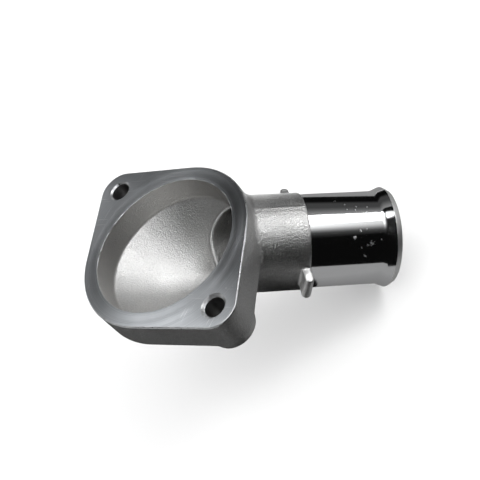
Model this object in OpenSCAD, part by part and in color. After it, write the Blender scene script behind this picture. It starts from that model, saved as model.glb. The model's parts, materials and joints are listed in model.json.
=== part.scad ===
// Thermostat housing of an engine's cooling circuit, cast in aluminium as one piece.
// A two-bolt flange carries a conical bowl, and a neck leaves the bowl at a slant and
// ends in a turned hose spigot. Sizes are in millimetres.
// The machined face lies in the XY plane with its mouth upwards, the origin is the centre
// of the mouth, and the neck leaves towards +X and down.

/* [Flange] */
// Diameter of the mouth at the machined face
mouth_d = 54; // [44:0.5:62]
// Diameter of the flange round the mouth
flange_d = 65.4; // [64:0.2:80]
// Thickness of the flange
flange_t = 12.6; // [10:0.2:18]
// Radius of the flange's two corners, round the bolt holes
corner_r = 8.3; // [7:0.1:11]
// Distance between the centres of the bolt holes
bolt_pitch = 76; // [74:0.5:92]
// Angle from the neck to the line of the bolt holes, in degrees
bolt_angle = 111.5; // [80:0.5:120]
// Diameter of the bolt holes
bolt_hole_d = 7.2; // [6.6:0.1:11]
// Height of the bosses behind the flange
boss_h = 2.4; // [1:0.1:8]
// How far a boss stands inside the flange's corner
boss_inset = 0.2; // [0.1:0.05:1]
// Chamfer round the machined face
face_chamfer = 0.3; // [0.2:0.1:1.5]
// Chamfer of the bolt holes at the machined face
hole_chamfer = 0.4; // [0.1:0.1:1]
// Radius of the rounded edges on the cast back
back_round = 1.2; // [0.4:0.1:2.5]

/* [Bowl] */
// Depth of the mouth's wall, from the face to the bowl's floor
mouth_depth = 9.7; // [6:0.1:14]
// Draft of the mouth's wall, in degrees
mouth_draft = 3.5; // [0.5:0.1:5]
// Slope of the conical floor, in degrees below the face
floor_slope = 40; // [30:0.5:46]
// Radius of the rounded bottom of the floor
floor_round = 10; // [4:0.5:14]
// Thickness of the bowl's wall
bowl_wall = 4.5; // [3:0.1:6]

/* [Neck] */
// Angle of the neck's axis below the face, in degrees
neck_angle = 34.4; // [28:0.2:40]
// Depth below the face at which the neck's axis crosses the mouth's axis
neck_drop = 2.9; // [0:0.1:6]
// Diameter of the cast neck
neck_d = 34.3; // [30:0.1:37]
// Distance along the axis from the crossing to the end of the cast neck
neck_end = 46.9; // [42:0.1:60]
// Diameter of the bore through neck and spigot
bore_d = 26.5; // [20:0.1:28]
// Radius of the rounded edge at the end of the cast neck
neck_round = 0.5; // [0.2:0.1:1]

/* [Stop lugs] */
// Thickness of a lug along the neck
lug_t = 3.2; // [2:0.1:5]
// Width of a lug
lug_w = 8.4; // [6:0.1:12]
// Height of a lug above the neck
lug_h = 5.8; // [3:0.1:8]
// Radius of a lug's rounded tip, at most a little under half its thickness
lug_round = 1.4; // [0.5:0.1:2.5]

/* [Spigot] */
// Diameter of the turned spigot
spigot_d = 33.1; // [29:0.1:36]
// Length of the spigot, from the cast neck to its end
spigot_len = 32.3; // [24:0.1:45]
// Height of the bead above the spigot
bead_h = 1.35; // [0.5:0.05:2.5]
// Length of the ramp that leads up to the bead's crest
bead_ramp = 3.4; // [2:0.1:6]
// Length of the chamfer from the crest to the end
bead_nose = 2.1; // [1:0.1:4]
// Height of the spigot's end above the spigot's own surface
end_step = 0.15; // [0:0.05:0.5]
// Chamfer of the bore at the spigot's end
bore_chamfer = 0.6; // [0.2:0.1:1.5]

/* [Hidden] */

// Room by which a cutter reaches past what it cuts
past = 2;
// Steps of a rounded edge, and facets of the rounded flange
round_steps = 4;
flange_facets = 64;
// Share of a lug's thickness that its tip's rounding may take on each side
lug_nose_share = 0.45;
$fn = 96;

mouth_r = mouth_d / 2;
crease_r = mouth_r - mouth_depth * tan(mouth_draft);
floor_tip_z = -mouth_depth - crease_r * tan(floor_slope);
floor_round_z = floor_tip_z + floor_round / cos(floor_slope);
outer_tip_z = floor_tip_z - bowl_wall / cos(floor_slope);
outer_r = (-flange_t - outer_tip_z) / tan(floor_slope);

neck_r = neck_d / 2;
bore_r = bore_d / 2;
spigot_r = spigot_d / 2;
spigot_end = neck_end + spigot_len;
crest_s = spigot_end - bead_nose;
// The neck and its bore start well inside the bowl, where the bowl's hollow clears them
neck_start = neck_r * sin(neck_angle) + mouth_depth / 2;
bore_start = neck_start;
reach = spigot_end + mouth_d;

function arc(centre, radius, from, to, steps) =
    [for (i = [0:steps]) centre + radius * [cos(from + (to - from) * i / steps), sin(from + (to - from) * i / steps)]];

// Puts children on the neck's axis, with their +Z along it and their -X towards the face
module along_neck() {
    translate([0, 0, -neck_drop]) rotate([0, 90 + neck_angle, 0]) children();
}

// Puts children at both bolt holes
module at_bolts() {
    for (turn = [0, 180]) rotate(bolt_angle + turn) translate([bolt_pitch / 2, 0, 0]) children();
}

// A disc of the flange: chamfered at the face, where it is left proud for the facing cut, and rounded behind
module flange_disc(radius) {
    rotate_extrude($fn = flange_facets) polygon(concat(
        [[0, past], [radius - face_chamfer - past, past], [radius, -face_chamfer]],
        arc([radius - back_round, back_round - flange_t], back_round, 0, -90, round_steps),
        [[0, -flange_t]]));
}

module flange_plate() {
    hull() {
        flange_disc(flange_d / 2);
        at_bolts() flange_disc(corner_r);
    }
}

// A boss on the back of the flange, round a bolt hole
module boss() {
    radius = corner_r - boss_inset;
    foot_z = -flange_t - boss_h;
    rotate_extrude() polygon(concat(
        [[0, -flange_t / 2], [radius, -flange_t / 2]],
        arc([radius - back_round, foot_z + back_round], back_round, 0, -90, round_steps),
        [[0, foot_z]]));
}

// The outside of the bowl, a cone with a rounded bottom
module bowl_outside() {
    radius = floor_round + bowl_wall;
    rotate_extrude() polygon(concat(
        [[0, -flange_t / 2], [outer_r, -flange_t / 2], [outer_r, -flange_t]],
        arc([0, floor_round_z], radius, floor_slope - 90, -90, 2 * round_steps)));
}

// The hollow of the mouth and the bowl
module bowl_inside() {
    top_r = mouth_r + neck_r * tan(mouth_draft);
    rotate_extrude() polygon(concat(
        [[0, neck_r], [top_r, neck_r], [crease_r, -mouth_depth]],
        arc([0, floor_round_z], floor_round, floor_slope - 90, -90, 2 * round_steps)));
}

module cast_neck() {
    along_neck() rotate_extrude() polygon(concat(
        [[0, neck_start], [neck_r, neck_start]],
        arc([neck_r - neck_round, neck_end - neck_round], neck_round, 0, 90, round_steps),
        [[0, neck_end]]));
}

// The turned spigot with the bead that holds the hose
module spigot() {
    along_neck() rotate_extrude() polygon([
        [0, neck_start],
        [spigot_r, neck_start],
        [spigot_r, crest_s - bead_ramp],
        [spigot_r + bead_h, crest_s],
        [spigot_r + end_step, spigot_end],
        [0, spigot_end]]);
}

// The two lugs that stop the hose, on the parting line's two sides, each with a rounded tip
module stop_lugs() {
    tip = neck_r + lug_h;
    foot = neck_end - lug_t;
    nose = min(lug_round, lug_nose_share * lug_t);
    along_neck() for (side = [90, -90]) rotate([90, 0, side]) linear_extrude(lug_w, center = true)
        polygon(concat(
            [[bore_r, foot]],
            arc([tip - nose, foot + nose], nose, -90, 0, round_steps),
            arc([tip - nose, neck_end - nose], nose, 0, 90, round_steps),
            [[bore_r, neck_end]]));
}

module bore() {
    along_neck() {
        translate([0, 0, bore_start]) cylinder(r = bore_r, h = spigot_end + past - bore_start);
        translate([0, 0, spigot_end - bore_chamfer])
            cylinder(r1 = bore_r, r2 = bore_r + bore_chamfer + past, h = bore_chamfer + past);
    }
}

module bolt_holes() {
    depth = flange_t + boss_h;
    hole_r = bolt_hole_d / 2;
    at_bolts() {
        translate([0, 0, -depth - past]) cylinder(r = hole_r, h = depth + 2 * past);
        translate([0, 0, -hole_chamfer])
            cylinder(r1 = hole_r, r2 = hole_r + hole_chamfer + past, h = hole_chamfer + past);
    }
}

// What the facing cut takes off above the machined face
module facing_cut() {
    translate([-reach, -reach, 0]) cube([2 * reach, 2 * reach, reach]);
}

module housing() {
    color("silver") difference() {
        union() {
            flange_plate();
            at_bolts() boss();
            bowl_outside();
            cast_neck();
            spigot();
            stop_lugs();
        }
        facing_cut();
        bowl_inside();
        bore();
        bolt_holes();
    }
}

housing();
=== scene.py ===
# %% [markdown]
# A thermostat housing is one aluminium casting. It is moulded and blasted, and then machined only where
# it has to seal: the flange is faced, two bolt holes are drilled and the hose spigot is turned bright.
# The CAD model gives the frame and the sizes. This script remodels the housing as one mesh with soft
# cast edges and crisp machined ones, and gives each kind of surface its own finish.

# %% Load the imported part
import json
import math

import bmesh
import bpy
import numpy as np
from mathutils import Matrix, Vector


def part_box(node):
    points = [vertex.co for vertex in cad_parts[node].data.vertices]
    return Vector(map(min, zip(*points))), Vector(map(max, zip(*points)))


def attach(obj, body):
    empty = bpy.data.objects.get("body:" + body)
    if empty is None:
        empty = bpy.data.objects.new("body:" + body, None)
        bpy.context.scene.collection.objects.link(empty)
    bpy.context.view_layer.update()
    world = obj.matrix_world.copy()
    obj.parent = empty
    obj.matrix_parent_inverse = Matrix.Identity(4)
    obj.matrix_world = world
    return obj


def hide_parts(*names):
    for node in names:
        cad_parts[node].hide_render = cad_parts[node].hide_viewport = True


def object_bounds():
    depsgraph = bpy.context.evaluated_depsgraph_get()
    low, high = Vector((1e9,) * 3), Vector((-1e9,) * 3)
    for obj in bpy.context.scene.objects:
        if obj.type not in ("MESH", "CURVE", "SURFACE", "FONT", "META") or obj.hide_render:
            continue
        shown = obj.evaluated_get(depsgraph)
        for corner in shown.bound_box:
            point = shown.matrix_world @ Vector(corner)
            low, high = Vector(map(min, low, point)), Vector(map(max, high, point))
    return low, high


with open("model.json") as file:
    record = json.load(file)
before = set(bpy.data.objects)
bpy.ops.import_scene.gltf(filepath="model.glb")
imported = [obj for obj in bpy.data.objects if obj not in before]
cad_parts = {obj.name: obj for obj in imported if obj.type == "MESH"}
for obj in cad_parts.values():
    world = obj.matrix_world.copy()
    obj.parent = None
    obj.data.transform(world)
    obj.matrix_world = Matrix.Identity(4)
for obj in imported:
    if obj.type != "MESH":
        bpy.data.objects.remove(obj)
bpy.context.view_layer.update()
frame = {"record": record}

# %% [markdown]
# The mounts of the record say where the bolts and the bore are, so these sizes are read and not typed
# again. All modelling below is in millimetres, in the frame of the part: the faced flange lies at z = 0
# with its mouth upwards, and the neck leaves towards +X and down. The mesh is scaled to metres when it
# is handed to Blender.

# %% Read the sizes that the record holds
MM = 0.001
mounts = {mount["name"]: mount for mount in frame["record"]["mounts"]}
bolt_dims = mounts["flange_bolts"]["dims"]
hole_r = bolt_dims["hole_r_mm"]
bolt_reach = bolt_dims["pcd_mm"] / 2
bore_r = mounts["outlet_bore"]["dims"]["r_mm"]
neck_axis = np.array(mounts["outlet_bore"]["axis"])
bore_point = np.array(mounts["outlet_bore"]["pos_m"]) / MM
neck_root = bore_point - neck_axis * bore_point[0] / neck_axis[0]
neck_up = np.array([-neck_axis[2], 0.0, neck_axis[0]])
print("bolts at", bolt_reach, "bore radius", bore_r, "neck starts at", neck_root.round(2))

# %% [markdown]
# A casting has no sharp edges: every corner was a corner in sand or steel, and metal rounds it.
# Bevelling the edges where a slanted neck meets a flange and a bowl is hard work on a mesh. A distance
# field makes it easy: each form is a formula that says how far a point lies outside it, and a smooth
# minimum of two such formulas is their union with a fillet. So the cast body is a field first, and a
# mesh only at the end.

# %% Blend distances
def smooth_union(a, b, blend):
    """The nearer of two forms, with a fillet about as wide as blend."""
    share = np.clip(0.5 + 0.5 * (b - a) / blend, 0.0, 1.0)
    return b + (a - b) * share - blend * share * (1.0 - share)


def smooth_meet(a, b, blend):
    """What two forms have in common, with its edge rounded about as wide as blend."""
    return -smooth_union(-a, -b, blend)


def rounded_slab(outline, z, low, high, edge):
    """An outline's distance drawn out from low to high, with its edges rounded."""
    beyond = np.abs(z - (low + high) / 2) - (high - low) / 2 + edge
    aside = outline + edge
    outer = np.hypot(np.maximum(aside, 0.0), np.maximum(beyond, 0.0))
    return np.minimum(np.maximum(aside, beyond), 0.0) + outer - edge


print("two faces 1 mm away, blended over 2 mm, are", smooth_union(1.0, 1.0, 2.0), "mm away")

# %% [markdown]
# The flange's outline is a disc round the mouth and a smaller disc round each bolt hole, wrapped by
# straight tangents. Its distance has three cases, for the big disc, the small disc and the straight
# stretch between them. The flange carries some stock above z = 0, which the facing cut takes off later,
# as on the real part.

# %% The flange and its bosses
flange_r = -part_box("housing")[0].x / MM
corner_r = 8.29
bolt_angle = math.radians(111.5)
flange_t = 12.6
flange_stock = 2.0
back_round = 1.2
boss_h = 2.4
boss_r = corner_r - 0.2
boss_round = 1.8
boss_root = 2.5
boss_fillet = 0.8
tangent_sine = (flange_r - corner_r) / bolt_reach
tangent_cosine = math.sqrt(1.0 - tangent_sine**2)


def along_bolts(x, y):
    """Distances along the line of the bolt holes, folded to one side, and across it."""
    along = x * math.cos(bolt_angle) + y * math.sin(bolt_angle)
    across = -x * math.sin(bolt_angle) + y * math.cos(bolt_angle)
    return np.abs(along), across


def flange_outline(x, y):
    along, across = along_bolts(x, y)
    side = np.abs(across)
    turn = along * tangent_cosine - side * tangent_sine
    disc = np.hypot(along, side) - flange_r
    corner = np.hypot(along - bolt_reach, side) - corner_r
    straight = side * tangent_cosine + along * tangent_sine - flange_r
    return np.where(turn < 0, disc, np.where(turn > tangent_cosine * bolt_reach, corner, straight))


def from_hole(x, y):
    along, across = along_bolts(x, y)
    return np.hypot(along - bolt_reach, across)


def flange_field(x, y, z):
    plate = rounded_slab(flange_outline(x, y), z, -flange_t, flange_stock, back_round)
    foot = -flange_t - boss_h
    boss = rounded_slab(from_hole(x, y) - boss_r, z, foot, boss_root - flange_t, boss_round)
    return np.maximum(smooth_union(plate, boss, boss_fillet), flange_outline(x, y))


print("flange radius", round(flange_r, 2), "corner angle", round(math.degrees(math.asin(tangent_sine)), 1))

# %% [markdown]
# The bowl behind the mouth is a blunt cone, which is easy to draw from a mould. Inside and outside are
# the same cone at two offsets, so one distance serves both: to the round tip, or to the slope beside
# it.

# %% The bowl, outside and inside
mouth_r = 27.0
mouth_depth = 9.7
mouth_draft = math.radians(3.5)
floor_slope = math.radians(40.0)
floor_round = 10.0
bowl_wall = 4.5
crease_r = mouth_r - mouth_depth * math.tan(mouth_draft)
floor_tip_z = -mouth_depth - crease_r * math.tan(floor_slope)
tip_centre_z = floor_tip_z + floor_round / math.cos(floor_slope)
bowl_outer_r = 30.0


def cone_field(x, y, z):
    """Distance to the rounded cone's core: its tip's centre and the slope that starts there."""
    out = np.hypot(x, y)
    up = z - tip_centre_z
    along = out * math.cos(floor_slope) + up * math.sin(floor_slope)
    off = out * math.sin(floor_slope) - up * math.cos(floor_slope)
    return np.where(along < 0, np.hypot(out, up), off)


def bowl_outside_field(x, y, z):
    cone = cone_field(x, y, z) - floor_round - bowl_wall
    inner = np.maximum(np.hypot(x, y) - bowl_outer_r, z + flange_t / 2)
    return np.maximum(cone, inner)


def mouth_wall_r(z):
    return mouth_r + z * math.tan(mouth_draft)


print("bowl floor from z", -mouth_depth, "down to", round(tip_centre_z - floor_round, 2))

# %% [markdown]
# The neck is a slanted cylinder. It was moulded in two halves, and a little metal crept between them,
# so a fine ridge runs along it where they part. Two lugs with rounded tips stand out from its end and
# stop the hose.

# %% The neck and its stop lugs
neck_r = 17.15
neck_start = 10.0
neck_end = 46.9
neck_round = 0.45
parting_ridge = 0.14
parting_width = 0.35
lug_t = 3.2
lug_tip = neck_r + 5.75
lug_half_w = 4.2
lug_round = 1.4
lug_edge = 0.4


def along_neck(x, y, z):
    """Places along the neck's axis, across it upwards, and the distance from it."""
    along = x * neck_axis[0] + (z - neck_root[2]) * neck_axis[2]
    up = x * neck_up[0] + (z - neck_root[2]) * neck_up[2]
    return along, up, np.hypot(up, y)


def neck_field(x, y, z):
    along, _, out = along_neck(x, y, z)
    radius = neck_r + parting_ridge * np.exp(-((y / parting_width) ** 2))
    return rounded_slab(out - radius, along, neck_start, neck_end, neck_round)


def lug_field(x, y, z):
    along, up, _ = along_neck(x, y, z)
    aside = np.abs(np.abs(y) - (lug_tip + bore_r) / 2) - (lug_tip - bore_r) / 2
    outline = rounded_slab(aside, along, neck_end - lug_t, neck_end, lug_round)
    return rounded_slab(outline, up, -lug_half_w, lug_half_w, lug_edge)


print("neck from", neck_start, "to", neck_end, "lug tips at", lug_tip)

# %% [markdown]
# What is hollow is a field too: the drafted mouth, the cone below it, the bore that breaks into the
# cone at a slant, and the bolt holes. The bore's core left a thin raised lip where it met the cone, and
# that lip catches the light, so it is part of the shape.

# %% The hollow, and the whole casting
bore_lip_h = 0.22
bore_lip_w = 0.40
bore_start = 8.0
bore_edge = 0.6
crease_round = 0.7
hollow_edge = 0.15
hole_edge = 0.25
bowl_fillet = 2.5
neck_fillet = 1.4
lug_fillet = 0.7


def hollow_field(x, y, z):
    along, _, out = along_neck(x, y, z)
    lip = bore_lip_h * np.exp(-(((out - bore_r - bore_lip_w) / bore_lip_w) ** 2))
    wall = (np.hypot(x, y) - mouth_wall_r(z)) * math.cos(mouth_draft)
    floor = cone_field(x, y, z) - floor_round + lip
    bowl = smooth_meet(wall, floor, crease_round)
    bore = np.maximum(out - bore_r, bore_start - along)
    return smooth_union(bowl, bore, bore_edge)


def casting_field(points):
    x, y, z = points[..., 0], points[..., 1], points[..., 2]
    body = smooth_union(flange_field(x, y, z), bowl_outside_field(x, y, z), bowl_fillet)
    body = smooth_union(body, neck_field(x, y, z), neck_fillet)
    body = smooth_union(body, lug_field(x, y, z), lug_fillet)
    body = np.maximum(body, along_neck(x, y, z)[0] - neck_end)
    body = smooth_meet(body, -hollow_field(x, y, z), hollow_edge)
    return smooth_meet(body, hole_r - from_hole(x, y), hole_edge)


print("field at the flange's middle wall", casting_field(np.array([[-30.0, 0.0, -4.0]])).round(2))

# %% [markdown]
# A surface net turns the field into a mesh. Space is cut into small cells, and the field is sampled at
# their corners. The cells are laid so that a row of vertices runs along the parting ridge, at y = 0.

# %% Sample the field
cell = 0.56
net_half_width = 45.0
net_low = np.array([-34.0, -cell * (math.ceil(net_half_width / cell) + 0.5), -47.5])
net_high = np.array([51.0, 46.0, 2.6])


def sample_field(low, high, step):
    counts = np.ceil((high - low) / step).astype(int) + 1
    axes = [low[i] + step * np.arange(counts[i]) for i in range(3)]
    values = np.empty(counts, np.float32)
    for i, x in enumerate(axes[0]):
        y, z = np.meshgrid(axes[1], axes[2], indexing="ij")
        values[i] = casting_field(np.stack([np.full_like(y, x), y, z], -1))
    return values


values = sample_field(net_low, net_high, cell)
print("samples along x, y and z:", values.shape)

# %% [markdown]
# Each cell that the surface crosses gets one vertex, at the mean of the crossings on its edges.

# %% A vertex for each crossed cell
def crossing_cells(values):
    """Indices of the cells with both signs, and a grid of their numbers."""
    inside = values < 0
    corners = [inside[i:i - 1 or None, j:j - 1 or None, k:k - 1 or None]
               for i in (0, 1) for j in (0, 1) for k in (0, 1)]
    total = sum(corner.astype(np.int8) for corner in corners)
    active = (total > 0) & (total < 8)
    numbers = np.full(active.shape, -1, np.int64)
    numbers[active] = np.arange(active.sum())
    return np.argwhere(active), numbers


def mean_crossings(values, cells):
    total = np.zeros((len(cells), 3))
    count = np.zeros(len(cells))
    for axis in range(3):
        others = [i for i in range(3) if i != axis]
        for first in (0, 1):
            for second in (0, 1):
                corner = np.zeros(3, int)
                corner[others] = first, second
                start = cells + corner
                end = start + np.eye(3, dtype=int)[axis]
                a, b = values[tuple(start.T)], values[tuple(end.T)]
                crossed = (a < 0) != (b < 0)
                share = np.where(crossed, a / np.where(crossed, a - b, 1.0), 0.0)
                place = np.broadcast_to(corner, cells.shape).astype(float)
                place[:, axis] = share
                total += place * crossed[:, None]
                count += crossed
    return cells + total / count[:, None]


cells, numbers = crossing_cells(values)
print("crossed cells:", len(cells))

# %% [markdown]
# Each edge of the grid that the surface crosses gets a face between the vertices of the four cells round
# it. That gives even quads.

# %% A quad for each crossed edge
def net_quads(values, numbers):
    quads = []
    inside = values < 0
    for axis in range(3):
        u, v = (axis + 1) % 3, (axis + 2) % 3
        ahead = np.roll(inside, -1, axis)
        crossed = inside != ahead
        for i in range(3):
            edge = [slice(None)] * 3
            edge[i] = -1
            crossed[tuple(edge)] = False
            edge[i] = 0
            if i != axis:
                crossed[tuple(edge)] = False
        at = np.argwhere(crossed)
        steps = [(-1, -1), (0, -1), (0, 0), (-1, 0)]
        ring = []
        for du, dv in steps:
            near = at.copy()
            near[:, u] += du
            near[:, v] += dv
            ring.append(numbers[tuple(near.T)])
        ring = np.stack(ring, 1)
        outward = inside[tuple(at.T)]
        quads.append(np.where(outward[:, None], ring, ring[:, ::-1]))
    return np.concatenate(quads)


net_faces = net_quads(values, numbers)
print("quads:", len(net_faces))

# %% [markdown]
# Each vertex then slides down the field's slope until it lies on the surface itself.

# %% Settle the vertices on the surface
def field_slope(points, reach=0.02):
    steps = reach * np.eye(3)
    rises = [casting_field(points + step) - casting_field(points - step) for step in steps]
    return np.stack(rises, -1) / (2 * reach)


def settle(points, rounds=6, least_slope=0.05):
    for _ in range(rounds):
        slope = field_slope(points)
        steep = np.maximum((slope**2).sum(-1), least_slope)
        move = (casting_field(points) / steep)[:, None] * slope
        points = points - np.clip(move, -cell, cell)
    return points


net_points = settle(net_low + cell * mean_crossings(values, cells))
print("largest distance left:", float(np.abs(casting_field(net_points)).max().round(5)), "mm")

# %% [markdown]
# Each surface of the housing has one of six finishes. The mesh keeps them apart as material slots, in
# this order, so that every face that is made below only has to name its slot.

# %% Name the finishes
FINISHES = ["cast_skin", "faced_flange", "cut_edge", "turned_bright", "turned_satin", "drilled_hole"]
CAST, FACED, EDGE, BRIGHT, SATIN, DRILLED = range(len(FINISHES))
finishes = [bpy.data.materials.new(name) for name in FINISHES]
print("finishes", FINISHES)

# %% [markdown]
# The facing cut is made as the machine makes it: the stock above the flange is cut off. The cut goes a
# little deep, and the rims are then drawn back up to z = 0 ring by ring, which gives the rounded outer
# edge, the edge of the mouth and the countersinks. Those were broken by hand: one hole is cut deeper
# than the other, and the edge of the mouth is ragged.

# %% The shapes of the rims
face_round = 0.55
hole_chamfers = {1: 0.6, -1: 1.0}
mouth_break = 0.14
hole_uneven = 0.10
rim_depths = (hole_chamfers[-1], hole_chamfers[1], face_round, 0.3, mouth_break, 0.05, 0.0)
rim_margin = 1.5
drilled_skin = 0.12
# How often each wave of the ragged edge goes up and down round the mouth, its height and its phase
RAGGED_WAVES = [(7, 0.50, 0.5), (23, 0.45, 1.0), (41, 0.35, 2.0), (67, 0.25, 0.0)]
RAGGED_MEAN = 0.8
RAGGED_LEAST = 0.05


def ragged_edge(angle):
    """An uneven wave from 0 up to about 2, for an edge that was broken by hand."""
    wave = sum(height * math.sin(count * angle + phase) for count, height, phase in RAGGED_WAVES)
    return max(RAGGED_MEAN + wave, RAGGED_LEAST)


def hole_side(x, y):
    return 1 if x * math.cos(bolt_angle) + y * math.sin(bolt_angle) > 0 else -1


def rim_place(x, y):
    """Which rim a point lies on."""
    if from_hole(x, y) < corner_r - rim_margin:
        return "hole"
    return "mouth" if math.hypot(x, y) < mouth_r + rim_margin else "outside"


def rim_point(co, depth):
    """Where a point of a cut rim belongs at a depth below the face."""
    x, y = co.x, co.y
    if rim_place(x, y) == "hole":
        side = hole_side(x, y)
        centre = Vector((math.cos(bolt_angle), math.sin(bolt_angle))) * bolt_reach * side
        arm = Vector((x, y)) - centre
        uneven = 1.0 + hole_uneven * math.sin(2 * math.atan2(arm.y, arm.x) + side)
        radius = hole_r + max(hole_chamfers[side] - depth, 0.0) * uneven
        place = centre + arm * (radius / arm.length)
        return Vector((place.x, place.y, -depth))
    if rim_place(x, y) == "mouth":
        radius = mouth_wall_r(-depth) + max(mouth_break - depth, 0.0) * ragged_edge(math.atan2(y, x))
        out = math.hypot(x, y)
        return Vector((x * radius / out, y * radius / out, -depth))
    reach = 0.01
    slope_x = float(flange_outline(x + reach, y) - flange_outline(x - reach, y)) / (2 * reach)
    slope_y = float(flange_outline(x, y + reach) - flange_outline(x, y - reach)) / (2 * reach)
    inset = face_round - math.sqrt(face_round**2 - max(face_round - depth, 0.0) ** 2)
    move = float(flange_outline(x, y)) + inset
    return Vector((x - slope_x * move, y - slope_y * move, -depth))


def rim_finish(co, depth):
    """The finish of a rim's wall, whose top is at a depth below the face."""
    place = rim_place(co.x, co.y)
    if place == "hole":
        return EDGE if depth < hole_chamfers[hole_side(co.x, co.y)] else DRILLED
    return EDGE if depth < {"mouth": mouth_break, "outside": face_round}[place] else CAST


print("rims at depths", rim_depths)

# %% [markdown]
# Each ring is drawn out of the one below it and moved to its own depth. A fill between the last rims is
# the faced flange.

# %% Face the flange
def raise_rim(bm, rim, depth):
    """Draws a rim up to a depth and returns the new rim."""
    made = bmesh.ops.extrude_edge_only(bm, edges=rim)["geom"]
    for item in made:
        if isinstance(item, bmesh.types.BMVert):
            item.co = rim_point(item.co, depth)
    for item in made:
        if isinstance(item, bmesh.types.BMFace):
            item.material_index = rim_finish(item.calc_center_median(), depth)
    return [e for e in made if isinstance(e, bmesh.types.BMEdge) and e.is_boundary]


def face_flange(bm):
    cut = bm.verts[:] + bm.edges[:] + bm.faces[:]
    bmesh.ops.bisect_plane(bm, geom=cut, plane_co=(0, 0, -rim_depths[0]), plane_no=(0, 0, 1),
                           clear_outer=True)
    rim = [e for e in bm.edges if e.is_boundary]
    for vert in {v for e in rim for v in e.verts}:
        vert.co = rim_point(vert.co, rim_depths[0])
    for depth in rim_depths[1:]:
        rim = raise_rim(bm, rim, depth)
    filled = bmesh.ops.triangle_fill(bm, use_beauty=True, edges=rim, normal=(0, 0, 1))["geom"]
    for item in filled:
        if isinstance(item, bmesh.types.BMFace):
            item.material_index = FACED
    return len(rim)


def add_object(name, data):
    """Puts a new object into the scene."""
    made = bpy.data.objects.new(name, data)
    bpy.context.scene.collection.objects.link(made)
    return made


casting_mesh = bpy.data.meshes.new("casting")
casting_mesh.from_pydata(net_points.tolist(), [], net_faces.tolist())
bm = bmesh.new()
bm.from_mesh(casting_mesh)
rim_edges = face_flange(bm)
for face in bm.faces:
    middle = face.calc_center_median()
    if face.material_index == CAST and from_hole(middle.x, middle.y) < hole_r + drilled_skin:
        face.material_index = DRILLED
bmesh.ops.recalc_face_normals(bm, faces=bm.faces[:])
bmesh.ops.scale(bm, vec=(MM, MM, MM), verts=bm.verts[:])
bm.to_mesh(casting_mesh)
bm.free()
casting = add_object("casting", casting_mesh)
for finish in finishes:
    casting_mesh.materials.append(finish)
print("faced flange:", rim_edges, "rim edges,", len(casting_mesh.polygons), "faces")

# %% [markdown]
# The spigot is turned on a lathe, so it is one profile swept round the neck's axis. A lathe tool leaves
# small radii in some corners and a chamfer on others. The profile is a closed curve whose points carry
# the radius of their own corner, and a Geometry Nodes tree fillets it, sweeps it round a circle and
# sets it on the neck.

# %% The spigot's profile
spigot_r = 16.55
spigot_end = neck_end + 32.3
bead_h = 1.35
bead_ramp = 3.4
bead_nose = 2.1
end_step = 0.15
bore_break = 0.6
spigot_bore_r = bore_r + 0.05
seat = 0.3
crest = spigot_end - bead_nose
satin_start = crest - 0.1
satin_depth = 1.0

# Place along the neck, radius and corner radius of each point
spigot_profile = [
    (neck_end - seat, spigot_bore_r, 0.0),
    (neck_end - seat, spigot_r, 0.0),
    (crest - bead_ramp, spigot_r, 5.0),
    (crest, spigot_r + bead_h, 0.35),
    (spigot_end, spigot_r + end_step, 0.15),
    (spigot_end, spigot_bore_r + bore_break, 0.1),
    (spigot_end - bore_break, spigot_bore_r, 0.2),
]


def profile_object(name, corners):
    curve = bpy.data.curves.new(name, "CURVE")
    curve.dimensions = "3D"
    spline = curve.splines.new("POLY")
    spline.points.add(len(corners) - 1)
    spline.use_cyclic_u = True
    for point, (along, radius, corner) in zip(spline.points, corners):
        point.co = ((radius - bore_r) * MM, -along * MM, 0.0, 1.0)
        point.radius = corner * MM
    return add_object(name, curve)


spigot = profile_object("spigot", spigot_profile)
print("spigot profile:", len(spigot_profile), "corners, end at", round(spigot_end, 2))

# %% [markdown]
# A node tree is long to write line by line, so these helpers add a node and wire it up at once.

# %% Helpers for node trees
def wire(tree, node, inputs):
    """Links or sets the inputs that are given by name or number."""
    for name, value in inputs.items():
        if isinstance(value, bpy.types.NodeSocket):
            tree.links.new(value, node.inputs[name])
        else:
            node.inputs[name].default_value = value


def add_node(tree, kind, inputs=None, **settings):
    node = tree.nodes.new(kind)
    for name, value in settings.items():
        setattr(node, name, value)
    wire(tree, node, inputs or {})
    return node


def vector_math(tree, operation, *operands):
    """Vector maths on one or two operands. Lengths, distances and dot products are single values."""
    made = add_node(tree, "ShaderNodeVectorMath", dict(enumerate(operands)), operation=operation)
    return made.outputs["Value" if operation in ("LENGTH", "DISTANCE", "DOT_PRODUCT") else "Vector"]


print("node helpers ready")

# %% [markdown]
# The tree works on any profile, so its sizes are inputs with names. The profile's X is its radius
# beyond the guide circle, and its -Y runs along the axis. The tool gave the nose beyond the bead's
# crest a satin cut, and the rest of the outside a bright one.

# %% The lathe, as a Geometry Nodes tree
LATHE_INPUTS = {
    "Guide Radius": "NodeSocketFloat",
    "Segments": "NodeSocketInt",
    "Corner Steps": "NodeSocketInt",
    "Satin Beyond": "NodeSocketFloat",
    "Satin Within": "NodeSocketFloat",
    "Axis Start": "NodeSocketVector",
    "Axis Turn": "NodeSocketVector",
    "Bright Finish": "NodeSocketMaterial",
    "Satin Finish": "NodeSocketMaterial",
}


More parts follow.
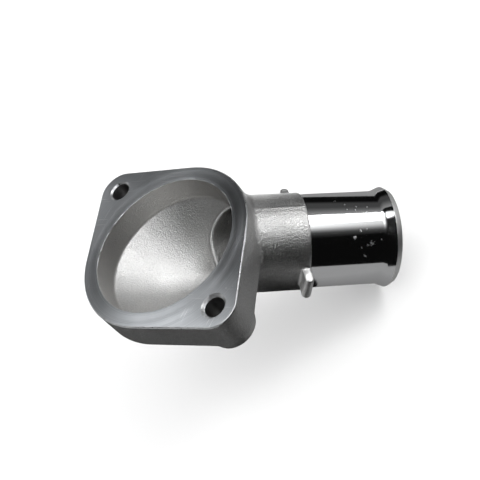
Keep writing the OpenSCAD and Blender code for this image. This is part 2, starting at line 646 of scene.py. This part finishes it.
def lathe_tree():
    tree = bpy.data.node_groups.new("lathe", "GeometryNodeTree")
    tree.interface.new_socket("Geometry", in_out="INPUT", socket_type="NodeSocketGeometry")
    for name, kind in LATHE_INPUTS.items():
        tree.interface.new_socket(name, in_out="INPUT", socket_type=kind)
    tree.interface.new_socket("Geometry", in_out="OUTPUT", socket_type="NodeSocketGeometry")
    given = add_node(tree, "NodeGroupInput").outputs
    corner = add_node(tree, "GeometryNodeInputRadius").outputs[0]
    fillet = add_node(tree, "GeometryNodeFilletCurve", mode="POLY", inputs={
        "Curve": given["Geometry"], "Radius": corner, "Count": given["Corner Steps"], "Limit Radius": True})
    guide = add_node(tree, "GeometryNodeCurvePrimitiveCircle", {
        "Resolution": given["Segments"], "Radius": given["Guide Radius"]})
    swept = add_node(tree, "GeometryNodeCurveToMesh", {
        "Curve": guide.outputs["Curve"], "Profile Curve": fillet.outputs["Curve"]})
    position = add_node(tree, "GeometryNodeInputPosition").outputs[0]
    along = add_node(tree, "ShaderNodeSeparateXYZ", {0: position}).outputs["Z"]
    radius = vector_math(tree, "LENGTH", vector_math(tree, "MULTIPLY", position, (1.0, 1.0, 0.0)))
    beyond = add_node(tree, "FunctionNodeCompare", {0: along, 1: given["Satin Beyond"]},
                      data_type="FLOAT", operation="GREATER_THAN")
    within = add_node(tree, "FunctionNodeCompare", {0: radius, 1: given["Satin Within"]},
                      data_type="FLOAT", operation="LESS_THAN")
    satin = add_node(tree, "FunctionNodeBooleanMath", {0: beyond.outputs[0], 1: within.outputs[0]},
                     operation="OR")
    geometry = swept.outputs["Mesh"]
    for step, inputs in (
        ("SetShadeSmooth", {}),
        ("RealizeInstances", {}),
        ("SetMaterial", {"Material": given["Bright Finish"]}),
        ("SetMaterial", {"Material": given["Satin Finish"], "Selection": satin.outputs[0]}),
        ("Transform", {"Translation": given["Axis Start"], "Rotation": given["Axis Turn"]}),
    ):
        made = add_node(tree, "GeometryNode" + step, {"Geometry": geometry, **inputs})
        geometry = made.outputs["Geometry"]
    add_node(tree, "NodeGroupOutput", {"Geometry": geometry})
    return tree


lathe = lathe_tree()
print("lathe tree:", len(lathe.nodes), "nodes")

# %% [markdown]
# A modifier runs the tree on the profile, with this spigot's sizes, and the result is kept as a mesh.

# %% Turn the spigot
def modified_mesh(made):
    """The mesh that an object's modifiers make of it."""
    depsgraph = bpy.context.evaluated_depsgraph_get()
    return bpy.data.meshes.new_from_object(made.evaluated_get(depsgraph), depsgraph=depsgraph)


def apply_tree(made, tree, values):
    """Runs a tree on an object, with inputs set by identifier, and returns the result as a plain mesh."""
    modifier = made.modifiers.new(tree.name, "NODES")
    modifier.node_group = tree
    for item in tree.interface.items_tree:
        if item.item_type == "SOCKET" and item.in_out == "INPUT" and item.name in values:
            modifier[item.identifier] = values[item.name]
    mesh = modified_mesh(made)
    made.modifiers.remove(modifier)
    return mesh


neck_turn = math.atan2(neck_axis[0], neck_axis[2])
spigot_mesh = apply_tree(spigot, lathe, {
    "Guide Radius": bore_r * MM,
    "Segments": 320,
    "Corner Steps": 6,
    "Satin Beyond": satin_start * MM,
    "Satin Within": (bore_r + satin_depth) * MM,
    "Axis Start": tuple(neck_root * MM),
    "Axis Turn": (0.0, neck_turn, 0.0),
    "Bright Finish": finishes[BRIGHT],
    "Satin Finish": finishes[SATIN],
})
bpy.data.objects.remove(spigot)
print("spigot:", len(spigot_mesh.polygons), "faces", [m.name for m in spigot_mesh.materials])

# %% [markdown]
# Casting and spigot are one piece of metal, so they become one mesh by an exact union. The spigot is
# sunk a little into the neck's end, and its bore is a hair wider than the cast one, so that no two
# faces coincide.

# %% Join casting and spigot
def joined_mesh(base, other_mesh):
    other = add_object("spigot", other_mesh)
    union = base.modifiers.new("union", "BOOLEAN")
    union.operation = "UNION"
    union.solver = "EXACT"
    union.material_mode = "TRANSFER"
    union.object = other
    mesh = modified_mesh(base)
    base.modifiers.remove(union)
    bpy.data.objects.remove(other)
    return mesh


housing_mesh = joined_mesh(casting, spigot_mesh)
housing_mesh.name = "housing_body"
bpy.data.objects.remove(casting)
housing = add_object("housing_body", housing_mesh)
print("housing:", len(housing_mesh.polygons), "faces", [m.name for m in housing_mesh.materials])

# %% [markdown]
# Smooth shading is right for all of it but the machined corners. Those are the edges where the finish
# changes, or where two turned or cut faces meet at an angle, so they are marked sharp and the cast
# edges stay soft.

# %% Shade it smooth, with sharp machined corners
SHARP_TURN = math.radians(14)


def mark_machined_corners(mesh):
    bm = bmesh.new()
    bm.from_mesh(mesh)
    sharp = 0
    for face in bm.faces:
        face.smooth = True
    for edge in bm.edges:
        slots = {face.material_index for face in edge.link_faces}
        machined = slots not in ({CAST}, {DRILLED}, {EDGE})
        edge.smooth = not (machined and edge.calc_face_angle(0.0) > SHARP_TURN)
        sharp += not edge.smooth
    open_edges = sum(not edge.is_manifold for edge in bm.edges)
    triangles = sum(len(face.verts) - 2 for face in bm.faces)
    bm.to_mesh(mesh)
    bm.free()
    return sharp, open_edges, triangles


print("sharp edges, open edges, triangles:", mark_machined_corners(housing_mesh))

# %% [markdown]
# All finishes are bare aluminium, so all are metallic, and they differ in how rough they are and in
# which way the marks run. Each reads Object coordinates in metres, so a noise scale of 2000 gives marks
# half a millimetre wide. These helpers save writing the same few nodes again.

# %% Helpers for the finishes
NOISE_RANGE = (0.3, 0.7)


def start_finish(slot, **constants):
    """A bare metal's tree, its shader and the object's coordinates."""
    material = finishes[slot]
    material.use_nodes = True
    tree = material.node_tree
    shader = tree.nodes["Principled BSDF"]
    wire(tree, shader, {"Metallic": 1.0, **constants})
    return tree, shader, add_node(tree, "ShaderNodeTexCoord").outputs["Object"]


def noise(tree, vector, scale, detail=2.0, roughness=0.5):
    made = add_node(tree, "ShaderNodeTexNoise", {
        "Vector": vector, "Scale": scale, "Detail": detail, "Roughness": roughness})
    return made.outputs[0]


def line_noise(tree, place, scale, detail=1.0):
    """Noise along one direction only, for marks that a tool leaves side by side."""
    made = add_node(tree, "ShaderNodeTexNoise", noise_dimensions="1D", inputs={
        "W": place, "Scale": scale, "Detail": detail})
    return made.outputs[0]


def spread(tree, value, low, high, start=0.0, end=1.0):
    """Maps a value from start..end to low..high, and stops there."""
    made = add_node(tree, "ShaderNodeMapRange", {
        "Value": value, "From Min": start, "From Max": end, "To Min": low, "To Max": high})
    return made.outputs[0]


def tint(tree, factor, dark, light):
    """A colour between two, each of which is written as red, green and blue or comes from another node."""
    ends = [end if isinstance(end, bpy.types.NodeSocket) else (*end, 1.0) for end in (dark, light)]
    mixed = add_node(tree, "ShaderNodeMix", data_type="RGBA", inputs={0: factor, 6: ends[0], 7: ends[1]})
    return mixed.outputs[2]


def math_node(tree, operation, first, second):
    return add_node(tree, "ShaderNodeMath", {0: first, 1: second}, operation=operation).outputs[0]


def mixture(tree, first, second, share):
    """A share of the first value and the rest of the second."""
    return math_node(tree, "ADD", math_node(tree, "MULTIPLY", first, share),
                     math_node(tree, "MULTIPLY", second, 1.0 - share))


def bump(tree, height, depth, under=None):
    """Relief of a real depth in metres, on top of the relief given as under."""
    inputs = {"Height": height, "Distance": depth, "Strength": 1.0}
    if under is not None:
        inputs["Normal"] = under
    return add_node(tree, "ShaderNodeBump", inputs).outputs[0]


print("finish helpers ready")

# %% [markdown]
# Tool marks follow the part's own axes, so these helpers measure along them and away from them.

# %% Places on the part
def along_axis(tree, coords):
    """The place along the neck's axis, the distance from it, and the axis itself as a direction."""
    axis = add_node(tree, "ShaderNodeCombineXYZ", dict(enumerate(neck_axis.tolist()))).outputs[0]
    arm = vector_math(tree, "SUBTRACT", coords, tuple(neck_root * MM))
    place = vector_math(tree, "DOT_PRODUCT", arm, axis)
    out = vector_math(tree, "LENGTH", vector_math(tree, "CROSS_PRODUCT", arm, axis))
    return place, out, axis


def from_mouth_axis(tree, coords):
    """The direction outwards from the mouth's axis, and the distance from that axis."""
    outwards = vector_math(tree, "MULTIPLY", coords, (1.0, 1.0, 0.0))
    return outwards, vector_math(tree, "LENGTH", outwards)


def height_of(tree, coords):
    return add_node(tree, "ShaderNodeSeparateXYZ", {0: coords}).outputs["Z"]


print("axes: the neck's, and the mouth's Z")

# %% [markdown]
# The cast skin was blasted with fine shot, which leaves it pale, even and sparkling. Its gloss comes
# from its dents more than from the metal between them, so the shader stays fairly glossy and the relief
# is steep: dents of a half and a fifth of a millimetre over a softer orange peel. The dents also vary
# the tone. The bore and the steep wall of the mouth get darker tones, which are painted shade for these
# recesses.

# %% The blasted cast skin
DENT_SCALE = 1900.0
FINE_DENT_SCALE = 5200.0
PEEL_SCALE = 420.0
CLOUD_SCALE = 70.0
DENT_DEPTH = 0.00017
FINE_DENT_DEPTH = 0.00007
PEEL_DEPTH = 0.00010
CAST_TONES = (0.57, 0.57, 0.565), (0.77, 0.77, 0.765)
# Painted shade: a darker tone for the deep bore.
BORE_SHADE_TONE = (0.38, 0.38, 0.375)
# Painted shade: a darker, slightly warmer tone for the steep wall of the mouth.
WALL_SHADE_TONE = (0.44, 0.43, 0.415)
WALL_SHADE = 0.75


def bore_shade_mask(tree, coords):
    """Where the bore's painted shade goes: 1 on the wall of the bore, and 0 elsewhere."""
    along, out, _ = along_axis(tree, coords)
    on_wall = spread(tree, out, 1.0, 0.0, (bore_r + 0.01) * MM, (bore_r + 0.08) * MM)
    return math_node(tree, "MULTIPLY", on_wall, spread(tree, along, 0.0, 1.0, 10 * MM, 12 * MM))


def mouth_wall_shade(tree, coords):
    """The share of painted shade on the wall of the mouth, and 0 elsewhere."""
    _, out = from_mouth_axis(tree, coords)
    on_wall = spread(tree, out, WALL_SHADE, 0.0, (mouth_r + 1.5) * MM, (mouth_r + 2.5) * MM)
    low, high = (-mouth_depth - 0.4) * MM, (-mouth_depth + 0.2) * MM
    return math_node(tree, "MULTIPLY", on_wall, spread(tree, height_of(tree, coords), 0.0, 1.0, low, high))


def cast_skin():
    tree, shader, coords = start_finish(CAST)
    dents = noise(tree, coords, DENT_SCALE, 1.0, 0.5)
    fine = noise(tree, coords, FINE_DENT_SCALE, 1.0, 0.5)
    peel = noise(tree, coords, PEEL_SCALE, 3.0, 0.55)
    cloud = noise(tree, coords, CLOUD_SCALE, 3.0, 0.5)
    tone = mixture(tree, dents, cloud, 0.6)
    shade = tint(tree, spread(tree, tone, 0.0, 1.0, *NOISE_RANGE), *CAST_TONES)
    # Painted shade in the bore.
    shade = tint(tree, bore_shade_mask(tree, coords), shade, BORE_SHADE_TONE)
    # Painted shade on the mouth's wall.
    shade = tint(tree, mouth_wall_shade(tree, coords), shade, WALL_SHADE_TONE)
    relief = bump(tree, dents, DENT_DEPTH, bump(tree, peel, PEEL_DEPTH))
    wire(tree, shader, {
        "Base Color": shade,
        "Roughness": spread(tree, dents, 0.28, 0.38, *NOISE_RANGE),
        "Normal": bump(tree, fine, FINE_DENT_DEPTH, relief),
    })


cast_skin()
print("cast skin: dents of about", round(1000 / DENT_SCALE, 2), "mm")

# %% [markdown]
# The flange was faced with a tool that went round the mouth, so its marks are rings about the Z axis.
# Fine rings spread a reflection across themselves and not along. The shader's anisotropy spreads it
# along the tangent, so the tangent here points outwards, across the rings. Handling has left a few
# hairlines and nicks on it.

# %% The faced flange
RING_SCALE = 2600.0
BAND_SCALE = 500.0
FACE_CLOUD_SCALE = 90.0
RING_DEPTH = 0.000014
FACE_TONES = (0.50, 0.525, 0.55), (0.66, 0.685, 0.71)
SCRATCH_TONE = (0.86, 0.87, 0.88)
HAIRLINE_STRETCH = (70.0, 2600.0, 0.0)
HAIRLINE_FADE = 0.05
# Direction of each set of hairlines, and the limit above which its noise shows
HAIRLINE_SETS = [(0.5, 0.70), (2.3, 0.71)]
NICK_CELLS = 150.0
NICK_SIZE = 0.05


def hairlines(tree, coords, turn, limit):
    """Sparse straight scratches: noise that is stretched along a direction and kept only where it peaks."""
    turned_coords = add_node(tree, "ShaderNodeVectorRotate", {"Vector": coords, "Angle": turn},
                             rotation_type="Z_AXIS").outputs[0]
    drawn = vector_math(tree, "MULTIPLY", turned_coords, HAIRLINE_STRETCH)
    return spread(tree, noise(tree, drawn, 1.0, 1.0), 0.0, 1.0, limit, limit + HAIRLINE_FADE)


def nicks(tree, coords, cells, size):
    """Small dots, at most one in each cell of an irregular pattern."""
    near = add_node(tree, "ShaderNodeTexVoronoi", {"Vector": coords, "Scale": cells}).outputs["Distance"]
    return spread(tree, near, 1.0, 0.0, size * 0.5, size)


def faced_flange():
    tree, shader, coords = start_finish(FACED, Anisotropic=0.8)
    outwards, out = from_mouth_axis(tree, coords)
    rings = line_noise(tree, out, RING_SCALE, 2.0)
    bands = line_noise(tree, out, BAND_SCALE, 2.0)
    tone = mixture(tree, rings, noise(tree, coords, FACE_CLOUD_SCALE, 3.0), 0.5)
    shade = tint(tree, spread(tree, tone, 0.0, 1.0, *NOISE_RANGE), *FACE_TONES)
    marks = nicks(tree, coords, NICK_CELLS, NICK_SIZE)
    for turn, limit in HAIRLINE_SETS:
        marks = math_node(tree, "MAXIMUM", marks, hairlines(tree, coords, turn, limit))
    wire(tree, shader, {
        "Base Color": tint(tree, marks, shade, SCRATCH_TONE),
        "Roughness": spread(tree, bands, 0.32, 0.39, *NOISE_RANGE),
        "Normal": bump(tree, rings, RING_DEPTH, bump(tree, bands, RING_DEPTH)),
        "Tangent": outwards,
    })


faced_flange()
print("faced flange: ring marks about", round(1000 / RING_SCALE, 2), "mm apart")

# %% [markdown]
# Cut edges are where the tool or a file broke a corner. They are narrow and bright, with a ragged line.

# %% The cut edges
EDGE_SCALE = 900.0
EDGE_DEPTH = 0.00012
EDGE_TONES = (0.52, 0.53, 0.54), (0.78, 0.79, 0.80)


def cut_edge():
    tree, shader, coords = start_finish(EDGE)
    ragged = noise(tree, coords, EDGE_SCALE, 3.0)
    wire(tree, shader, {
        "Base Color": tint(tree, ragged, *EDGE_TONES),
        "Roughness": spread(tree, ragged, 0.26, 0.48, *NOISE_RANGE),
        "Normal": bump(tree, ragged, EDGE_DEPTH),
    })


cut_edge()
print("cut edges done")

# %% [markdown]
# The spigot was turned with a fine feed and shines like a mirror. Its marks are rings about the neck's
# axis, so the place along that axis drives them. Handling has scuffed it in a few spots. Each is a
# small ball round a point of the surface, broken up by noise that is drawn out along the neck, in which
# the metal is rough.

# %% The turned spigot, bright and satin
# Place along the neck, angle about it in degrees and size of each scuff
SPIGOT_SCUFFS = [(57.7, 81, 0.7), (60.7, 88, 0.8), (64.3, 92, 0.8), (63.9, 97, 0.6), (68.4, 94, 0.6),
                 (67.7, 101, 0.5), (61.0, 96, 0.4), (68.3, 140, 2.0), (66.8, 142, 1.4), (64.4, 124, 1.0),
                 (66.6, 123, 0.8), (62.2, 132, 1.5), (65.8, 155, 1.2), (64.5, 145, 0.9), (71.7, 136, 0.7)]
SCUFF_ROUGHNESS = 0.6
SCUFF_WEIGHT = 0.6
SCUFF_FADE = (0.80, 1.00)
SCUFF_STRETCH = (1000.0, 2400.0, 2400.0)
FEED_SCALE = 3600.0
SPIGOT_CLOUD_SCALE = 160.0


def on_spigot(along, angle):
    """A point of the spigot in metres, by its place along the neck and its angle about it in degrees."""
    turn = math.radians(angle)
    arm = neck_up * math.sin(turn) + np.array([0, math.cos(turn), 0])
    return tuple((neck_root + neck_axis * along + spigot_r * arm) * MM)


def scuffed(tree, coords):
    worn = None
    for along, angle, size in SPIGOT_SCUFFS:
        away = vector_math(tree, "DISTANCE", coords, on_spigot(along, angle))
        near = spread(tree, away, SCUFF_WEIGHT, 0.0, 0.0, size * MM)
        worn = near if worn is None else math_node(tree, "MAXIMUM", worn, near)
    upright = add_node(tree, "ShaderNodeVectorRotate", {"Vector": coords, "Angle": neck_turn - math.pi / 2},
                       rotation_type="Y_AXIS", invert=True).outputs[0]
    grain = noise(tree, vector_math(tree, "MULTIPLY", upright, SCUFF_STRETCH), 1.0, 2.0, 0.6)
    return spread(tree, math_node(tree, "ADD", worn, grain), 0.0, 1.0, *SCUFF_FADE)


def turned(slot, tones, gloss, feed_depth, anisotropy, scuffs=False):
    tree, shader, coords = start_finish(slot, Anisotropic=anisotropy)
    along, _, axis = along_axis(tree, coords)
    feed = line_noise(tree, along, FEED_SCALE, 2.0)
    roughness = spread(tree, feed, *gloss, *NOISE_RANGE)
    if scuffs:
        worn = math_node(tree, "MULTIPLY", scuffed(tree, coords), SCUFF_ROUGHNESS)
        roughness = math_node(tree, "MAXIMUM", roughness, worn)
    wire(tree, shader, {
        "Base Color": tint(tree, noise(tree, coords, SPIGOT_CLOUD_SCALE, 3.0), *tones),
        "Roughness": roughness,
        "Normal": bump(tree, feed, feed_depth),
        "Tangent": axis,
    })


turned(BRIGHT, ((0.86, 0.87, 0.88), (0.93, 0.935, 0.94)), (0.07, 0.12), 0.0000012, 0.6, scuffs=True)
turned(SATIN, ((0.87, 0.87, 0.87), (0.95, 0.95, 0.95)), (0.40, 0.52), 0.000008, 0.4)
print("turned finishes done")

# %% [markdown]
# A drill leaves a dull, scored wall. Its marks run round the hole, so they change with depth.
# The wall's dark tone is painted shade for the deep, narrow holes.

# %% The drilled holes
SCORE_SCALE = 2200.0
SCORE_DEPTH = 0.00003
# Painted shade: dark tones for the walls of the bolt holes.
HOLE_SHADE_TONES = (0.20, 0.20, 0.20), (0.34, 0.34, 0.34)


def drilled_hole():
    tree, shader, coords = start_finish(DRILLED)
    scores = line_noise(tree, height_of(tree, coords), SCORE_SCALE, 2.0)
    wire(tree, shader, {
        "Base Color": tint(tree, scores, *HOLE_SHADE_TONES),
        "Roughness": spread(tree, scores, 0.32, 0.5, *NOISE_RANGE),
        "Normal": bump(tree, scores, SCORE_DEPTH),
    })


drilled_hole()
print("drilled holes done")

# %% [markdown]
# The piece stands for the CAD node and rides on the part's only body.

# %% Hand the piece to the frame
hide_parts("housing")
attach(housing, "root")
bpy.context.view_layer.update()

# %% [markdown]
# The camera stands where the photograph's camera stood. Its place, aim and lens come from fitting the
# known circles of the part to the picture. The part was lying tilted then, so the camera's up is tilted
# as well.

# %% The camera
CAMERA_PLACE = Vector((0.10800, -0.23301, 0.22513))
CAMERA_AIM = Vector((0.023565, -0.003862, -0.011423))
CAMERA_LENS = 74.6
BENCH_TILT = math.radians(28.55)
bench_up = Vector((math.sin(BENCH_TILT), 0.0, math.cos(BENCH_TILT)))


def look_at(place, aim, up):
    forward = (aim - place).normalized()
    right = forward.cross(up).normalized()
    true_up = right.cross(forward)
    turn = Matrix((right, true_up, -forward)).transposed().to_4x4()
    return Matrix.Translation(place) @ turn


camera_data = bpy.data.cameras.new("camera")
camera_data.lens = CAMERA_LENS
camera_data.sensor_width = 36.0
camera_data.clip_start = 0.01
camera_data.clip_end = 20.0
camera = add_object("camera", camera_data)
camera.matrix_world = look_at(CAMERA_PLACE, CAMERA_AIM, bench_up)
bpy.context.scene.camera = camera
print("camera at", tuple(round(c, 4) for c in CAMERA_PLACE))

# %% [markdown]
# A pale floor lies just under the part, as wide as the view needs.

# %% The floor
FLOOR_GAP = 0.001
FLOOR_HALF = 2.0
floor_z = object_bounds()[0].z - FLOOR_GAP


def stage_object(name, mesh):
    made = add_object(name, mesh)
    return made


def panel(name, corners):
    """A flat piece of the stage with four corners."""
    mesh = bpy.data.meshes.new(name)
    mesh.from_pydata(corners, [], [(0, 1, 2, 3)])
    return stage_object(name, mesh)


floor = panel("floor", [(x * FLOOR_HALF, y * FLOOR_HALF, floor_z) for x, y in
                        ((-1, -1), (1, -1), (1, 1), (-1, 1))])
floor_paint = bpy.data.materials.new("floor_paint")
floor_paint.use_nodes = True
wire(floor_paint.node_tree, floor_paint.node_tree.nodes["Principled BSDF"], {
    "Base Color": (0.93, 0.93, 0.93, 1.0), "Roughness": 0.9, "Specular IOR Level": 0.0})
floor.data.materials.append(floor_paint)
print("floor at z", round(floor_z, 4))

# %% [markdown]
# Bare metal shows its surroundings, so in a studio the surroundings are lit and not the metal. The room
# here is white, and so is the floor. Dark flags stand where the photograph's bright spigot shows black
# bands, and dim cards lie where its walls show grey. Only reflections see them, so the floor keeps its
# own light and the part's shadow.

# %% Flags and cards
part_centre = Vector((0.022, 0.0, -0.025))
CARD_LIFT = 0.0002
FLAG_TONE = 0.003


def off_camera(made, paint, lights_floor):
    """Hides a stage piece from the camera, and from all but reflections unless it lights the floor too."""
    made.data.materials.append(paint)
    made.visible_camera = False
    made.visible_shadow = False
    made.visible_diffuse = lights_floor
    made.visible_transmission = lights_floor


def graded_paint(name, axis, tones, fade):
    """A material that only glows, and whose tone changes along an axis of its object."""
    paint = bpy.data.materials.new(name)
    paint.use_nodes = True
    tree = paint.node_tree
    coords = add_node(tree, "ShaderNodeTexCoord").outputs["Object"]
    place = add_node(tree, "ShaderNodeSeparateXYZ", {0: coords}).outputs[axis]
    wire(tree, tree.nodes["Principled BSDF"], {
        "Base Color": (0.0, 0.0, 0.0, 1.0),
        "Specular IOR Level": 0.0,
        "Emission Color": (1.0, 1.0, 1.0, 1.0),
        "Emission Strength": spread(tree, place, *tones, *fade),
    })
    return paint


def card(name, xs, ys, layer, tones, fade=(0.0, 1.0), slant=0.0):
    """A card that lies on the floor over the cards of lower layers. Its tone changes along Y."""
    z = floor_z + layer * CARD_LIFT
    corners = [(xs[0], ys[0], z), (xs[1], ys[0] + slant, z), (xs[1], ys[1], z), (xs[0], ys[1], z)]
    off_camera(panel(name, corners), graded_paint(name, "Y", tones, fade), False)


def flag(name, y, xs, zs, tones, fade=(0.0, 1.0)):
    """A flag that stands across the Y axis, and whose tone changes along Z."""
    corners = [(xs[0], y, zs[0]), (xs[1], y, zs[0]), (xs[1], y, zs[1]), (xs[0], y, zs[1])]
    off_camera(panel(name, corners), graded_paint(name, "Z", tones, fade), False)


card("left_card", (-0.40, -0.03), (-0.35, 0.06), 1, (0.075, 0.075))
card("low_card", (-0.03, -0.005), (-0.35, -0.02), 1, (0.075, 0.075))
card("near_card", (-0.005, 0.20), (-0.10, 0.06), 2, (0.035, 0.035))
card("back_card", (0.04, 0.70), (0.02, 0.90), 3, (0.28, 0.28))
card("front_strip", (0.005, 0.36), (-0.10, 0.015), 4, (FLAG_TONE, FLAG_TONE))
# Painted shadow: this card fades from 0.31 to 0.10 beneath the part, like the part's shadow on a bench, and
# only reflections see it.
card("under_card_painted_shadow", (0.030, 0.105), (-0.107, 0.02), 5, (0.31, 0.10), (-0.035, 0.015), slant=0.102)
flag("front_flag", -0.10, (0.005, 0.36), (floor_z, 0.05), (FLAG_TONE, FLAG_TONE))
flag("back_flag", 0.10, (0.065, 0.24), (-0.034, 0.045), (FLAG_TONE, 0.055), (0.003, 0.018))
flag("top_flag", 0.10, (0.065, 0.33), (0.045, 0.15), (0.055, 0.24), (0.050, 0.130))
print("flags and cards set")

# %% [markdown]
# Overhead hangs a dark canopy that grows paler away from the neck.

# %% The canopy
CANOPY_RADIUS = 1.4
CANOPY_RIM = math.sin(math.radians(12))
CANOPY_TONES = (0.12, FLAG_TONE)
CANOPY_FADE = (-0.85, 0.0)


def canopy(name):
    mesh = bpy.data.meshes.new(name)
    bm = bmesh.new()
    bmesh.ops.create_icosphere(bm, subdivisions=5, radius=CANOPY_RADIUS)
    low = [v for v in bm.verts if v.co.z < CANOPY_RADIUS * CANOPY_RIM]
    bmesh.ops.delete(bm, geom=low, context="VERTS")
    bm.to_mesh(mesh)
    bm.free()
    made = stage_object(name, mesh)
    made.location = part_centre
    fade = [CANOPY_RADIUS * share for share in CANOPY_FADE]
    off_camera(made, graded_paint(name, "X", CANOPY_TONES, fade), False)


canopy("canopy")
print("canopy over the part, from", round(CANOPY_RADIUS * CANOPY_RIM, 2), "m up")

# %% [markdown]
# One soft lamp hangs under the canopy on the neck's side, where the photograph's own highlights point,
# with a dim glow beside it. Weaker ones light the faced flange, the bowl and the bead. All are glowing
# discs that fade towards their rims, because a hard rim would show on the spigot. Three small lamps
# close by reach the far half of the bowl, its bottom and the top of a lug.

# %% The lamps
def fading_glow(name, core, rim, tone):
    """A one-sided glow that fades out from a core to a rim, and hides nothing behind it."""
    paint = bpy.data.materials.new(name)
    paint.use_nodes = True
    tree = paint.node_tree
    coords = add_node(tree, "ShaderNodeTexCoord").outputs["Object"]
    fade = spread(tree, vector_math(tree, "LENGTH", coords), 1.0, 0.0, core, rim)
    behind = add_node(tree, "ShaderNodeNewGeometry").outputs["Backfacing"]
    strength = math_node(tree, "MULTIPLY", math_node(tree, "SUBTRACT", 1.0, behind), tone)
    glow = math_node(tree, "MULTIPLY", math_node(tree, "MULTIPLY", fade, fade), strength)
    light = add_node(tree, "ShaderNodeEmission", {"Strength": glow}).outputs[0]
    clear = add_node(tree, "ShaderNodeBsdfTransparent").outputs[0]
    both = add_node(tree, "ShaderNodeAddShader", {0: light, 1: clear}).outputs[0]
    wire(tree, tree.nodes["Material Output"], {"Surface": both})
    return paint


def soft_disc(name, aim, direction, distance, core, rim, tone, lights_floor=True):
    """A glowing disc that faces a point, and whose front is its local -Z."""
    mesh = bpy.data.meshes.new(name)
    bm = bmesh.new()
    bmesh.ops.create_circle(bm, cap_ends=True, segments=48, radius=rim)
    for face in bm.faces:
        face.normal_update()
        if face.normal.z > 0:
            face.normal_flip()
    bm.to_mesh(mesh)
    bm.free()
    made = stage_object(name, mesh)
    place = aim + Vector(direction).normalized() * distance
    made.matrix_world = look_at(place, aim, Vector((0.0, 1.0, 0.0)))
    off_camera(made, fading_glow(name, core, rim, tone), lights_floor)


def small_lamp(name, place, facing, radius, tone):
    """A small round lamp close to the part. It shines one way, and only reflections show it."""
    light = bpy.data.lights.new(name, "AREA")
    light.shape = "DISK"
    light.size = 2 * radius
    light.energy = tone * math.pi * math.pi * radius**2
    made = add_object(name, light)
    made.matrix_world = look_at(Vector(place), Vector(place) + Vector(facing), Vector((0.0, 1.0, 0.0)))
    made.visible_camera = False
    made.visible_diffuse = False
    made.visible_transmission = False


bowl_centre = Vector((-0.008, 0.008, -0.015))
bead_top = Vector((0.0712, 0.0, -0.0308))
soft_disc("lamp", part_centre, (0.73, 0.13, 0.67), 0.90, 0.16, 0.21, 6.0)
soft_disc("lamp_glow", part_centre, (0.70, -0.12, 0.70), 0.95, 0.06, 0.35, 1.2)
soft_disc("lamp_skirt", part_centre, (0.70, -0.12, 0.70), 1.00, 0.0, 0.64, 0.27)
soft_disc("face_lamp", part_centre, (-0.46, 0.30, 0.84), 0.30, 0.048, 0.10, 1.95, lights_floor=False)
soft_disc("bowl_lamp", bowl_centre, (0.31, -0.42, 0.85), 0.150, 0.025, 0.06, 3.7, lights_floor=False)
soft_disc("bead_lamp", bead_top, (0.24, 0.03, 0.97), 0.035, 0.0055, 0.0085, 1.5, lights_floor=False)
small_lamp("rim_lamp", (0.012, 0.025, 0.012), (-0.90, -0.30, -0.30), 0.0055, 4.0)
small_lamp("bottom_lamp", (-0.004, -0.0035, -0.0085), (0.20, 0.30, -0.93), 0.0025, 7.5)
small_lamp("lug_lamp", (0.057, 0.0, -0.011), (0.45, -0.87, 0.25), 0.0062, 20.0)
print("lamps set")

# %% [markdown]
# The world lights the floor, and is white where it shows as the background or in the metal.

# %% The world
WORLD_FILL = 1.2
world = bpy.data.worlds.new("studio")
bpy.context.scene.world = world
world.use_nodes = True
sky = world.node_tree
seen = add_node(sky, "ShaderNodeLightPath").outputs
mirrored = math_node(sky, "MAXIMUM", seen["Is Glossy Ray"], seen["Is Transmission Ray"])
shown = math_node(sky, "MAXIMUM", seen["Is Camera Ray"], mirrored)
wire(sky, sky.nodes["Background"], {
    "Color": (1.0, 1.0, 1.0, 1.0), "Strength": spread(sky, shown, WORLD_FILL, 1.0)})
bpy.context.scene.view_settings.view_transform = "Standard"
print("world fill", WORLD_FILL)
